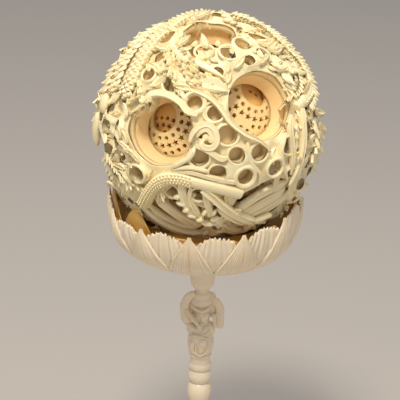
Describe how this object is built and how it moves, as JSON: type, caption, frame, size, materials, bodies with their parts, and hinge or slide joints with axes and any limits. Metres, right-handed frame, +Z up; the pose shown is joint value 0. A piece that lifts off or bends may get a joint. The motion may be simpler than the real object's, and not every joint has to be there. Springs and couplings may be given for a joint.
{
  "type": "carved puzzle ball on stand",
  "caption": "Openwork carved ivory ball of nested pierced shells, resting in a petal cup on a slender turned stand with a small figure and a domed foot.",
  "frame": {"origin": "middle of the foot's flat underside", "axes": "+Z up along the stand, -Y towards the viewer's side of the ball, +X to the viewer's right"},
  "size_m": [0.0966, 0.0981, 0.2705],
  "materials": {
    "carved_ivory": "satin",
    "inner_ivory": "satin"
  },
  "bodies": {
    "root": {"outer_ball": "carved_ivory", "second_ball": "carved_ivory", "third_ball": "inner_ivory", "fourth_ball": "inner_ivory", "cup": "carved_ivory", "stem": "carved_ivory", "foot": "carved_ivory"}
  },
  "joints": []
}
